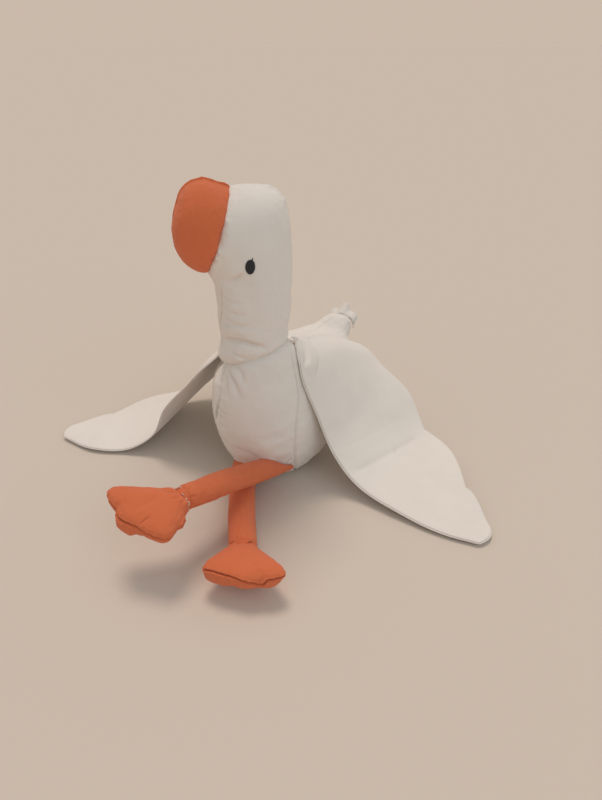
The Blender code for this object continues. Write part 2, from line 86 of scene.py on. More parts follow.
WING_NEIGHBOURS = ("body", "head_neck")
WING_STEPS = (200, 84)
WING_WAVE = 0.35

# Two layers sewn round the rim: half of both, half of both at the rim, and how far in they thin out.
LAYER_HALF = 0.75
LIP_HALF = 0.40
LIP_REACH = 1.3
LOWEST_MIDDLE = 1.5
# How far the cloth's middle lies off the members, and the rounds that even the lift out, pass by pass.
WING_LIFTS = ((1.45, 40), (1.2, 6))
TAIL_LIFTS = ((1.15, 6), (1.0, 2))
# The rim from each layer to the groove between them: distance out and height from the middle surface. The
# lower layer rolls out past the upper one.
UPPER_RIM = ((0.14, 0.26), (0.10, 0.05), (-0.30, -0.06))
LOWER_RIM = ((0.75, -0.40), (1.0, -0.22), (1.0, 0.02), (0.78, 0.16), (0.45, 0.12), (0.2, -0.02),
             (-0.30, -0.06))
# Painted shade along the groove between the two layers: how dark, and how far out and how high a rim step
# lies to get it.
RIM_SHADE = 0.45
RIM_SHADE_OUT, RIM_SHADE_HEIGHT = 0.3, 0.1

# Tail.
TAIL_ROOT = (16.3, 75.0, 77.4)
TUFT_LENGTH = 9.5
TUFT_HALF_WIDTH = 11.5
TUFT_ROOT_HALF_WIDTH = 9.5
TUFT_ARCH = 6.0
TUFT_PLEAT = 2.0
TUFT_FOLDS = 2.1
TUFT_AIM = (0.15, 0.75, 0.55)
TUFT_ACROSS = (1, -0.2, 0)
TAIL_STEPS = (60, 30)
TAIL_WAVE = 0.15

# Legs and feet.
LEFT_LEG_RADIUS = 7.6
RIGHT_LEG_RADIUS = 8.5
LEFT_LEG_PATH = ((19, -28, 14), (13, -54, 23), (5, -82, 31.7), (-3.8, -109, 38.3))
RIGHT_LEG_PATH = ((-9, -28, 10.5), (1, -53, 9.6), (15, -79, 9.2), (29.5, -104, 9.2))
LEG_TUCK = 4.0
LEG_NARROWING = 0.45
TOE_SEAM_FROM = 24.0
FOOT_TOP_RISE = 7.0
FOOT_RIM = ((-1, 0), (-0.5, 7), (5, 10), (11, 14.5), (17, 18.5), (22, 21.8), (26.5, 22), (29.2, 18),
            (31.2, 12.5), (31.2, 7.5), (32.6, 4), (33, 0))
LEFT_FOOT = ((-0.50, -0.866, 0.08), (-0.93, 0.20, 0.27))
RIGHT_FOOT = ((0.50, -0.826, 0.31), (0.949, 0.315, 0.02))

# Hand sewing.
EYE_WIDTH = 5.2
EYE_HEIGHT = 7.4
EYE_DOME = 0.75
EYE_THREADS = 17
EYE_THREAD_RADIUS = 0.30
CLOSING_THREAD_RADIUS = 0.27
LEFT_ANKLE_THREAD_RADIUS = 0.40
RIGHT_ANKLE_THREAD_RADIUS = 0.28
THREAD_PLY = 0.0005
CLOSING_TOP = (-16.3, -47.0, 62.0)
CLOSING_BOTTOM = (-22.0, -42.5, 47.0)
CLOSING_ACROSS = (0.84, -0.33, -0.42)

# Covers: how far their cloth starts inside the solid's skin, and how often each face is split in the end.
COVER_TUCK = 0.35
COVER_LEVELS = 2
# What holds the cloth while it swells: grooves that fade this little are seams, and what is this low rests.
HELD_FADE = 0.1
REST_HEIGHT = 1.5
# Hand-stuffed unevenness.
UNEVEN_HEIGHT = 0.12
UNEVEN_LENGTH = 14.0

# Stuffing: its pressure on the cloth, how much the cloth gives, and the most that any point moves.
STUFFING_FRAMES = 20
STUFFING_PRESSURE = 8.0
CLOTH_GROWTH = 0.012
MOST_SWELL = 1.0

# Sewn joins: from how far away two members are drawn together, and how far they sink into each other.
SEW_REACH = 2.4
SEW_SINK = 0.2

# Colours. The crease colours are painted shade, blended into the dye along seams, creases and wing rims.
WHITE_DYE = (0.87, 0.83, 0.785)
WHITE_CREASE_SHADE = (0.48, 0.39, 0.33)
ORANGE_DYE = (0.86, 0.212, 0.084)
ORANGE_CREASE_SHADE = (0.21, 0.03, 0.012)
FLOOR_COLOUR = (0.69, 0.62, 0.55, 1.0)
BACKDROP_COLOUR = (0.591, 0.489, 0.4015, 1.0)
SOFT_LIGHT_COLOUR = (1.0, 0.95, 0.885, 1.0)
SOFT_LIGHT_LEVEL = 0.47


def smooth_line(points, step=0.3):
    """Points every step along a smooth curve through the given ones."""
    points = [Vector(p) for p in points]
    made = []
    for i in range(len(points) - 1):
        p1, p2 = points[i], points[i + 1]
        p0 = points[i - 1] if i > 0 else p1 * 2 - p2
        p3 = points[i + 2] if i + 2 < len(points) else p2 * 2 - p1
        count = max(1, round((p2 - p1).length / step))
        for k in range(count):
            s = k / count
            made.append((p1 * 2 + (p2 - p0) * s + (p0 * 2 - p1 * 5 + p2 * 4 - p3) * s * s
                         + (p1 * 3 - p0 - p2 * 3 + p3) * s ** 3) * 0.5)
    return made + [points[-1]]


def along(points, t):
    """The point at t, from 0 to 1, of a smooth curve through evenly spaced points."""
    place = min(max(t, 0.0), 1.0) * (len(points) - 1)
    i = min(int(place), len(points) - 2)
    s = place - i
    p1, p2 = Vector(points[i]), Vector(points[i + 1])
    p0 = Vector(points[i - 1]) if i > 0 else p1 * 2 - p2
    p3 = Vector(points[i + 2]) if i + 2 < len(points) else p2 * 2 - p1
    return (p1 * 2 + (p2 - p0) * s + (p0 * 2 - p1 * 5 + p2 * 4 - p3) * s * s
            + (p1 * 3 - p0 - p2 * 3 + p3) * s ** 3) * 0.5


def head_axes(turn_deg):
    """The way that the head faces at a turn, and the way across it."""
    turn = math.radians(turn_deg)
    ahead = Vector((-math.sin(turn), -math.cos(turn), 0))
    return ahead, Vector((-ahead.y, ahead.x, 0))


def head_line(profile, turns):
    """A line down the middle of the head: (distance ahead, height) and the way the head faces there."""
    return [Vector((*NECK_AXIS, z)) + head_axes(turn)[0] * out for (out, z), turn in zip(profile, turns)]


def make_camera():
    turn, rise = math.radians(CAMERA_TURN_DEG), math.radians(CAMERA_RISE_DEG)
    back = Vector((math.sin(turn) * math.cos(rise), -math.cos(turn) * math.cos(rise), math.sin(rise)))
    camera = bpy.data.objects.new("camera", bpy.data.cameras.new("camera"))
    camera.location = (Vector(CAMERA_TARGET) + back * CAMERA_DISTANCE) * MM
    camera.rotation_mode = "QUATERNION"
    camera.rotation_quaternion = (-back).to_track_quat("-Z", "Y")
    camera.data.sensor_width = 36.0
    camera.data.lens = CAMERA_LENS
    camera.data.clip_start = 0.01
    bpy.context.scene.collection.objects.link(camera)
    bpy.context.scene.camera = camera


# Materials.

class Recipe:
    """A node material being put together."""

    def __init__(self, name):
        self.material = bpy.data.materials.new(name)
        self.material.use_nodes = True
        self.tree = self.material.node_tree
        self.shader = self.tree.nodes["Principled BSDF"]

    def node(self, kind, **settings):
        made = self.tree.nodes.new(kind)
        for name, value in settings.items():
            setattr(made, name, value)
        return made

    def feed(self, socket, value):
        if isinstance(value, bpy.types.NodeSocket):
            self.tree.links.new(value, socket)
        else:
            socket.default_value = value

    def sum(self, operation, *values):
        made = self.node("ShaderNodeMath", operation=operation)
        for socket, value in zip(made.inputs, values):
            self.feed(socket, value)
        return made.outputs[0]

    def noise(self, place, scale, detail=3.0, roughness=0.55):
        made = self.node("ShaderNodeTexNoise")
        self.feed(made.inputs["Vector"], place)
        made.inputs["Scale"].default_value = scale
        made.inputs["Detail"].default_value = detail
        made.inputs["Roughness"].default_value = roughness
        return made.outputs["Fac"]

    def blend(self, factor, first, second, kind="MIX"):
        made = self.node("ShaderNodeMix", data_type="RGBA", blend_type=kind)
        self.feed(made.inputs["Factor"], factor)
        self.feed(made.inputs[6], first)
        self.feed(made.inputs[7], second)
        return made.outputs[2]


def cotton(name, colour, crease_shade_colour, pitch, depth, fleck):
    """Plain-woven cotton: threads that go over and under, uneven yarn, soft mottling, and painted shade in
    its seams and creases.

    pitch is a thread's width in metres, depth how deep the weave is, and fleck how much its colour varies.
    """
    made = Recipe(name)
    cloth = made.node("ShaderNodeUVMap", uv_map="cloth").outputs[0]
    place = made.node("ShaderNodeTexCoord").outputs["Object"]
    wander = made.node("ShaderNodeVectorMath", operation="SCALE")
    uneven = made.node("ShaderNodeTexNoise")
    made.feed(uneven.inputs["Vector"], place)
    uneven.inputs["Scale"].default_value = 260.0
    made.feed(wander.inputs[0], uneven.outputs["Color"])
    wander.inputs["Scale"].default_value = pitch * 0.9
    shifted = made.node("ShaderNodeVectorMath", operation="ADD")
    made.feed(shifted.inputs[0], cloth)
    made.feed(shifted.inputs[1], wander.outputs[0])
    split = made.node("ShaderNodeSeparateXYZ")
    made.feed(split.inputs[0], shifted.outputs[0])
    warp = made.sum("SINE", made.sum("MULTIPLY", split.outputs[0], math.pi / pitch))
    weft = made.sum("SINE", made.sum("MULTIPLY", split.outputs[1], math.pi / pitch))
    over = made.sum("GREATER_THAN", made.sum("MULTIPLY", warp, weft), 0.0)
    across, down = made.sum("ABSOLUTE", warp), made.sum("ABSOLUTE", weft)
    warp_top = made.sum("MULTIPLY", across, made.sum("MULTIPLY_ADD", down, 0.45, 0.55))
    weft_top = made.sum("MULTIPLY", down, made.sum("MULTIPLY_ADD", across, 0.45, 0.55))
    threads = made.sum("ADD", made.sum("MULTIPLY", over, warp_top),
                       made.sum("MULTIPLY", made.sum("SUBTRACT", 1.0, over), weft_top))
    yarn = made.node("ShaderNodeMapping")
    made.feed(yarn.inputs["Vector"], cloth)
    yarn.inputs["Scale"].default_value = (1.0, 0.08, 1.0)
    slub = made.noise(yarn.outputs[0], 1.4 / pitch, 2.0)
    mottle = made.noise(place, 55.0, 4.0)
    fuzz = made.noise(place, 2600.0, 2.0, 0.7)
    tone = made.sum("MULTIPLY_ADD", threads, fleck, 1.0 - fleck)
    tone = made.sum("MULTIPLY", tone, made.sum("MULTIPLY_ADD", slub, fleck * 0.8, 1.0 - fleck * 0.4))
    tone = made.sum("MULTIPLY", tone, made.sum("MULTIPLY_ADD", mottle, 0.10, 0.95))
    tone = made.sum("MULTIPLY", tone, made.sum("MULTIPLY_ADD", fuzz, 0.06, 0.97))
    grey = made.node("ShaderNodeCombineColor")
    for socket in grey.inputs[:3]:
        made.feed(socket, tone)
    dyed = made.blend(1.0, (*colour, 1.0), grey.outputs[0], "MULTIPLY")
    # Painted shade: the dye is blended toward the crease shade colour as far as each vertex's crease value
    # says, along seams, creases and rims.
    shaded_crease = made.node("ShaderNodeAttribute", attribute_name="shaded_crease").outputs["Fac"]
    made.feed(made.shader.inputs["Base Color"], made.blend(shaded_crease, dyed, (*crease_shade_colour, 1.0)))
    height = made.sum("MULTIPLY_ADD", fuzz, 0.35, made.sum("MULTIPLY_ADD", slub, 0.4, threads))
    bump = made.node("ShaderNodeBump")
    bump.inputs["Strength"].default_value = depth
    bump.inputs["Distance"].default_value = pitch * 0.3
    made.feed(bump.inputs["Height"], height)
    made.feed(made.shader.inputs["Normal"], bump.outputs[0])
    made.shader.inputs["Roughness"].default_value = 0.92
    made.shader.inputs["Specular IOR Level"].default_value = 0.18
    made.shader.inputs["Sheen Weight"].default_value = 0.12
    made.shader.inputs["Sheen Roughness"].default_value = 0.6
    return made.material


def thread(name, colour, roughness):
    """Twisted sewing thread, with its plies as slanting bands and painted shade in the low parts between
    them.
    """
    made = Recipe(name)
    place = made.node("ShaderNodeTexCoord").outputs["Object"]
    bands = made.node("ShaderNodeTexWave", wave_type="BANDS", bands_direction="DIAGONAL")
    made.feed(bands.inputs["Vector"], place)
    bands.inputs["Scale"].default_value = 0.5 / THREAD_PLY
    bands.inputs["Distortion"].default_value = 1.5
    ply = bands.outputs["Fac"]
    # Painted shade: the low parts between the plies are darker.
    ply_shade = tuple(c * 0.55 for c in colour)
    made.feed(made.shader.inputs["Base Color"], made.blend(ply, (*ply_shade, 1.0), (*colour, 1.0)))
    bump = made.node("ShaderNodeBump")
    bump.inputs["Strength"].default_value = 0.6
    bump.inputs["Distance"].default_value = 0.0001
    made.feed(bump.inputs["Height"], ply)
    made.feed(made.shader.inputs["Normal"], bump.outputs[0])
    made.shader.inputs["Roughness"].default_value = roughness
    made.shader.inputs["Sheen Weight"].default_value = 0.1
    return made.material


WHITE = cotton("white_cotton_weave", WHITE_DYE, WHITE_CREASE_SHADE, 0.00046, 0.35, 0.05)
ORANGE = cotton("orange_cotton_weave", ORANGE_DYE, ORANGE_CREASE_SHADE, 0.00062, 0.75, 0.20)
BLACK = thread("black_satin_thread", (0.022, 0.022, 0.028), 0.5)
PALE = thread("pale_sewing_thread", (0.92, 0.55, 0.42), 0.7)
# Orange thread made much darker than the orange cloth: its darkness is painted shade of the holes where the
# stitches pull into the cloth.
SHADED_ORANGE_THREAD = thread("shaded_orange_sewing_thread", (0.42, 0.08, 0.03), 0.7)
CREAM = thread("cream_sewing_thread", (0.86, 0.81, 0.76), 0.75)


# Sewing.

def groove(points, depth, width, lip=0.0, pucker=0.0, pitch=6.0, reach=3.5, roll=0.0, roll_width=3.0,
           shade=0.3, fade=0.12):
    """A seam or crease.

    depth is how far it sinks, or swells where it is below nought, lip how far its sides rise, pucker the
    ripples beside it, roll a bulge on its left side, shade how dark the painted shade along it is, and fade
    the share of its length over which each end dies out.
    """
    return dict(points=points, depth=depth, width=width, lip=lip, pucker=pucker, pitch=pitch, reach=reach,
                roll=roll, roll_width=roll_width, shade=shade, fade=fade)


def tree_of(mesh):
    return BVHTree.FromPolygons([v.co for v in mesh.vertices], [p.vertices for p in mesh.polygons])


def coordinates(mesh, name="co"):
    values = np.empty(len(mesh.vertices) * 3)
    if name == "co":
        mesh.vertices.foreach_get("co", values)
    else:
        mesh.vertex_normals.foreach_get("vector", values)
    return values.reshape(-1, 3)


def carve(piece, grooves):
    """Sinks seams and creases into the cloth, with lips and puckers beside them, and paints shade along them.
    """
    mesh = piece.data
    skin = tree_of(mesh)
    co, normals = coordinates(mesh), coordinates(mesh, "normal")
    move = np.zeros(len(co))
    shaded_crease = np.zeros(len(co))
    for number, g in enumerate(grooves):
        line = [skin.find_nearest(p * MM)[0] for p in smooth_line(g["points"])]
        lengths = [0.0]
        for a, b in zip(line, line[1:]):
            lengths.append(lengths[-1] + (b - a).length / MM)
        tree = KDTree(len(line))
        for i, p in enumerate(line):
            tree.insert(p, i)
        tree.balance()
        wide = max(g["reach"] * 2.0, g["width"] * 3.5, g["roll_width"] * 3 if g["roll"] else 0.0) * MM
        flat = np.array(line)
        near = np.all((co > flat.min(0) - wide) & (co < flat.max(0) + wide), axis=1)
        for i in np.flatnonzero(near):
            place = Vector(co[i])
            spot, k, gap = tree.find(place)
            if gap > wide:
                continue
            gap /= MM
            s = lengths[k] / lengths[-1]
            ends = min(1.0, s / g["fade"], (1 - s) / g["fade"]) if g["fade"] else 1.0
            dip = math.exp(-(gap / g["width"]) ** 2)
            side = math.exp(-((gap - g["width"] * 1.9) / (g["width"] * 0.9)) ** 2)
            ripple = math.sin(2 * math.pi * lengths[k] / g["pitch"] + 2.0 * noise.noise(spot * 300))
            rise = g["lip"] * side - g["depth"] * dip
            rise += g["pucker"] * ripple * math.exp(-gap / g["reach"]) * min(1.0, gap / g["width"])
            if g["roll"]:
                ahead = line[min(k + 2, len(line) - 1)] - line[max(k - 2, 0)]
                if ahead.cross(place - spot).dot(Vector(normals[i])) > 0:
                    rise += g["roll"] * (gap / g["roll_width"]) * math.exp(1 - gap / g["roll_width"])
            move[i] += rise * ends
            # Painted shade along the groove, strongest at its middle and as dark as its shade says.
            shaded_crease[i] = max(shaded_crease[i], g["shade"] * ends * math.exp(-(gap / (g["width"] * 0.55)) ** 2))
    co += normals * move[:, None] * MM
    mesh.vertices.foreach_set("co", co.ravel())
    mark = mesh.attributes.get("shaded_crease")
    if mark:
        sewn_in = np.empty(len(co), dtype=np.float32)
        mark.data.foreach_get("value", sewn_in)
        shaded_crease = np.maximum(shaded_crease, sewn_in)
    else:
        mark = mesh.attributes.new("shaded_crease", "FLOAT", "POINT")
    mark.data.foreach_set("value", shaded_crease.astype(np.float32))
    mesh.update()


def settle(piece):
    """Soft hand-stuffed unevenness."""
    mesh = piece.data
    co, normals = coordinates(mesh), coordinates(mesh, "normal")
    broad = UNEVEN_LENGTH * MM
    move = np.array([noise.noise(Vector(p) / broad) + 0.4 * noise.noise(Vector(p) / (broad * 0.4))
                     for p in co])
    co += normals * (move * UNEVEN_HEIGHT * MM)[:, None]
    mesh.vertices.foreach_set("co", co.ravel())
    mesh.update()


def rest_on_floor(piece):
    """Flattens what would reach below the floor."""
    mesh = piece.data
    co = coordinates(mesh)
    co[:, 2] = np.maximum(co[:, 2], 0.0)
    mesh.vertices.foreach_set("co", co.ravel())
    mesh.update()


def lay_weave(piece):
    """Lays the cloth's threads on every face, from the panel direction that it faces most."""
    axes = [(Vector((0, 1, 0)), Vector((0, 0, 1))), (Vector((1, 0, 0)), Vector((0, 0, 1))),
            (Vector((1, 0, 0)), Vector((0, 1, 0)))]
    mesh = piece.data
    layer = mesh.uv_layers.new(name="cloth")
    facing = [a.cross(b).normalized() for a, b in axes]
    for face in mesh.polygons:
        a, b = axes[max(range(len(axes)), key=lambda i: abs(facing[i].dot(face.normal)))]
        for corner in face.loop_indices:
            place = mesh.vertices[mesh.loops[corner].vertex_index].co
            layer.data[corner].uv = (place.dot(a), place.dot(b))


def piece_from(name, mesh):
    made = bpy.data.objects.new(name, mesh)
    bpy.context.scene.collection.objects.link(made)
    return made


def baked(piece):
    """The mesh of a piece with its modifiers applied."""
    bpy.context.view_layer.update()
    graph = bpy.context.evaluated_depsgraph_get()
    return bpy.data.meshes.new_from_object(piece.evaluated_get(graph))


def cover_of(node, voxel, sewn):
    """An even cotton cover over a solid, a little inside its skin, held along its seams and at the floor."""
    solid = bmesh.new()
    solid.from_mesh(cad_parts[node].data)
    bmesh.ops.remove_doubles(solid, verts=solid.verts, dist=1e-6)
    mesh = bpy.data.meshes.new(node + "_cover")
    solid.to_mesh(mesh)
    solid.free()
    cover = piece_from(node + "_cover", mesh)
    even = cover.modifiers.new("even", "REMESH")
    even.mode = "VOXEL"
    even.voxel_size = voxel * MM
    cover.data = baked(cover)
    cover.modifiers.clear()
    co, normals = coordinates(cover.data), coordinates(cover.data, "normal")
    co -= normals * COVER_TUCK * MM
    cover.data.vertices.foreach_set("co", co.ravel())
    held = cover.vertex_groups.new(name="sewn")
    tree = KDTree(sum(len(line) for line in sewn) + 1)
    for i, p in enumerate(p for line in sewn for p in line):
        tree.insert(p * MM, i)
    tree.insert((9, 9, 9), 0)
    tree.balance()
    for i, p in enumerate(co):
        if p[2] < REST_HEIGHT * MM or tree.find(Vector(p))[2] < voxel * MM:
            held.add([i], 1.0, "REPLACE")
    return cover


def stuff(covers):
    """Fills the covers: the cloth swells between its seams, and no point moves more than a set distance."""
    starts = {cover.name: coordinates(cover.data) for cover in covers}
    for cover in covers:
        cloth = cover.modifiers.new("stuffing", "CLOTH").settings
        cloth.quality = 4
        cloth.mass = 0.3
        cloth.use_pressure = True
        cloth.uniform_pressure_force = STUFFING_PRESSURE
        cloth.shrink_min = -CLOTH_GROWTH
        cloth.vertex_group_mass = "sewn"
        cloth.effector_weights.gravity = 0.0
    for number in range(1, STUFFING_FRAMES + 1):
        bpy.context.scene.frame_set(number)
    swollen = {cover.name: coordinates(baked(cover)) for cover in covers}
    for cover in covers:
        cover.modifiers.clear()
        cover.vertex_groups.clear()
        moved = swollen[cover.name] - starts[cover.name]
        far = np.linalg.norm(moved, axis=1, keepdims=True)
        moved *= np.tanh(far / (MOST_SWELL * MM)) * MOST_SWELL * MM / np.maximum(far, 1e-9)
        cover.data.vertices.foreach_set("co", (starts[cover.name] + moved).ravel())
        cover.data.update()
    bpy.context.scene.frame_set(1)


def refine(cover):
    fine = cover.modifiers.new("fine", "SUBSURF")
    fine.levels = fine.render_levels = COVER_LEVELS
    cover.data = baked(cover)
    cover.modifiers.clear()


def finish_cover(cover, node, grooves, material, slot, fill):
    settle(cover)
    carve(cover, grooves)
    rest_on_floor(cover)
    lay_weave(cover)
    hand_over(cover, material, slot, node)


def press_together(covers, pairs):
    """Draws the sewn ends of two members to each other until they meet: (first, second) by node name."""
    moves = {}
    for first, second in pairs:
        for here, there in ((first, second), (second, first)):
            mesh = covers[here].data
            skin = tree_of(covers[there].data)
            co = coordinates(mesh)
            for i, p in enumerate(co):
                near, _, _, gap = skin.find_nearest(Vector(p), SEW_REACH * MM)
                if near is None or gap < 1e-6:
                    continue
                share = 1 - gap / (SEW_REACH * MM)
                share = min(1.0, share * share * (3 - 2 * share) * 1.4)
                co[i] += np.array((near - Vector(p)).normalized()) * (gap * 0.5 + SEW_SINK * MM) * share
            moves.setdefault(here, []).append(co - coordinates(mesh))
    for here, shifts in moves.items():
        mesh = covers[here].data
        mesh.vertices.foreach_set("co", (coordinates(mesh) + sum(shifts)).ravel())
        mesh.update()


def limb_end(path):
    """The end of a leg, with the way it points, the way across it and the way up from it."""
    end = along(path, 1.0)
    ahead = (end - along(path, 0.9)).normalized()
    across = ahead.cross(Vector((0, 0, 1))).normalized()
    return end, ahead, across, across.cross(ahead)


def sew_in(leg, path, foot):
    """Draws the end of a leg in and on into its foot, so that no cut end shows."""
    ahead = Vector(foot[0]).normalized()
    end, axis, _, _ = limb_end(path)
    co = coordinates(leg.data)
    for i, p in enumerate(co):
        from_end = Vector(p) / MM - end
        far = min(1.0, 1.0 + from_end.dot(axis) / LEG_TUCK)
        if far > 0:
            far = far * far * (3 - 2 * far)
            aside = from_end - axis * from_end.dot(axis)
            co[i] += np.array(ahead * LEG_TUCK * far - aside * LEG_NARROWING * far * far) * MM
    leg.data.vertices.foreach_set("co", co.ravel())
    leg.data.update()


def hand_over(piece, material, slot, *nodes):
    """Gives a finished piece its material, hangs it on the root's empty, and hides the solids of the nodes
    that it stands for.
    """
    piece.data.materials.clear()
    piece.data.materials.append(material)
    piece.data.shade_smooth()
    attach(piece, ROOT)
    if nodes:
        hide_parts(*nodes)


# Hand sewing.

def over(skin, place, lift):
    """The spot of the skin nearest to a place, lifted off it, in metres."""
    near, normal, _, _ = skin.find_nearest(place * MM)
    return near + normal * lift * MM


def sewn(name, lines, radius, material, slot, *nodes):
    """Lengths of sewing thread, each a thin tube through its places."""
    line = bpy.data.curves.new(name + "_line", "CURVE")
    line.dimensions = "3D"
    line.bevel_depth = radius * MM
    line.bevel_resolution = 2
    line.use_fill_caps = True
    for places in lines:
        run = line.splines.new("POLY")
        run.points.add(len(places) - 1)
        for point, place in zip(run.points, places):
            point.co = (*place, 1.0)
    holder = piece_from(name + "_line", line)
    made = piece_from(name, baked(holder))
    bpy.data.objects.remove(holder)
    hand_over(made, material, slot, *nodes)


def eye(node, head, sign):
    """A satin-stitched eye: threads side by side over a low mound, each end going into the cloth."""
    skin = tree_of(head.data)
    low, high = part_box(node)
    centre, normal, _, _ = skin.find_nearest((Vector(low) + Vector(high)) / 2)
    up = (Vector((0, 0, 1)) - normal * normal.z).normalized()
    rear = up.cross(normal) * sign
    centre = centre / MM
    lines = []
    for i in range(EYE_THREADS):
        high = (i + 0.5) / EYE_THREADS * 2 - 1
        half = math.sqrt(1 - high * high) * (1 + 0.05 * noise.noise(Vector((i * 1.7, 0, sign))))
        line = []
        for k in range(11):
            aside = (k / 5 - 1) * half
            place = centre + rear * aside * EYE_WIDTH / 2 + up * (high + 0.10 * aside) * EYE_HEIGHT / 2
            dome = EYE_DOME * math.sqrt(max(0.0, 1 - aside * aside - high * high * 0.9))
            line.append(over(skin, place, dome if 0 < k < 10 else -0.35))
        lines.append(line)
    tip = []
    for aside, above, lift in ((0.16, 0.40, 0.35), (0.24, 0.52, 0.3), (0.30, 0.62, -0.2)):
        tip.append(over(skin, centre + rear * EYE_WIDTH * aside + up * EYE_HEIGHT * above, lift))
    sewn(node + "_stitches", lines + [tip], EYE_THREAD_RADIUS, BLACK, "black_thread", node)


def closing_stitches(body):
    """Short hand stitches that pull the belly seam together, each end going into the cloth."""
    skin = tree_of(body.data)
    top, bottom, across = Vector(CLOSING_TOP), Vector(CLOSING_BOTTOM), Vector(CLOSING_ACROSS)
    down = (bottom - top).normalized()
    arch = ((-1.15, -0.35), (-1, 0.15), (-0.5, 0.4), (0, 0.5), (0.5, 0.4), (1, 0.15), (1.15, -0.35))
    lines = []
    for t, half, slant in ((0.02, 1.2, 0.5), (0.2, 1.3, -0.3), (0.38, 1.4, 0.6), (0.56, 1.3, 0.2),
                           (0.74, 1.7, 0.1), (0.92, 1.2, 0.5)):
        middle = top.lerp(bottom, t)
        lines.append([over(skin, middle + across * half * s + down * slant * s, lift) for s, lift in arch])
    sewn("closing_stitches", lines, CLOSING_THREAD_RADIUS, CREAM, "pale_thread", "closing_thread")


def ankle_stitches(name, path, stitches, leg, foot, radius, material, slot, node):
    """Hand stitches that join a leg to its foot, each on whichever of the two is outside."""
    skins = tree_of(leg.data), tree_of(foot.data)
    end = along(path, 1.0)
    lines = []
    for stitch in stitches:
        places = smooth_line(stitch, 0.4)
        line = []
        for k, place in enumerate(places):
            lift = 0.5 if 0 < k < len(places) - 1 else -0.3
            outward = (place - end).normalized()
            spots = [over(skin, place, lift) for skin in skins]
            line.append(max(spots, key=lambda spot: spot.dot(outward)))
        lines.append(line)
    sewn(name, lines, radius, material, slot, node)


def round_the_ankle(path, radius, turns, slant, half):
    """Slanting stitches at turns in degrees about the end of a leg: 0 is its top."""
    end, ahead, across, up = limb_end(path)
    stitches = []
    for turn in turns:
        stitch = []
        for s in (-1, 0, 1):
            angle = math.radians(turn + slant * s)
            round_leg = across * math.sin(angle) + up * math.cos(angle)
            stitch.append(end + ahead * (half * s + 0.6) + round_leg * radius)
        stitches.append(stitch)
    return stitches


# Flat cloth.

def clear_of(place, trees, distance):
    """The place moved out of the members until it is this far off their surfaces."""
    for _ in range(3):
        for tree in trees:
            near, normal, _, gap = tree.find_nearest(place)
            if gap < distance * MM or (place - near).dot(normal) < 0:
                place = near + normal * distance * MM
    return place


def lobe(u):
    """How far the scalloped edge stands out at u: nought at each notch."""
    for low, high in zip(WING_NOTCHES, WING_NOTCHES[1:]):
        if u <= high:
            return math.sin(math.pi * (u - low) / (high - low)) ** 0.75
    return 0.0


def wing_point(lines, u, v):
    """A point of a wing's middle surface: u from root to tip, v from leading to trailing edge."""
    front, middle, rear = (along(line, u) for line in lines)
    rear = rear + (rear - front).normalized() * WING_LOBE_DEPTH * lobe(u) * min(1.0, (1 - u) * 7)
    a, b, c = (v - 0.5) * (v - 1) * 2, v * (1 - v) * 4, v * (v - 0.5) * 2
    return front * a + middle * b + rear * c


def closer_at_rims(t):
    """Spreads the steps of a grid so that they are closer together at both rims."""
    return 0.45 * t + 0.55 * (0.5 - 0.5 * math.cos(math.pi * t))


def evened(shift, rounds):
    """Spreads the shifts of a grid of places to their neighbours."""
    for _ in range(rounds):
        for axis in (0, 1):
            wide = np.concatenate((shift.take([0], axis), shift, shift.take([-1], axis)), axis)
            count = shift.shape[axis]
            before, after = wide.take(range(count), axis), wide.take(range(2, count + 2), axis)
            shift = (before + shift * 2 + after) / 4
    return shift


def laid_over(places, trees, lifts):
    """A grid of places lifted off the members, each lift evened out so that the cloth stays smooth."""
    for distance, rounds in lifts:
        clear = np.array([[clear_of(Vector(p), trees, distance) for p in row] for row in places])
        places = places + evened(clear - places, rounds)
    return places


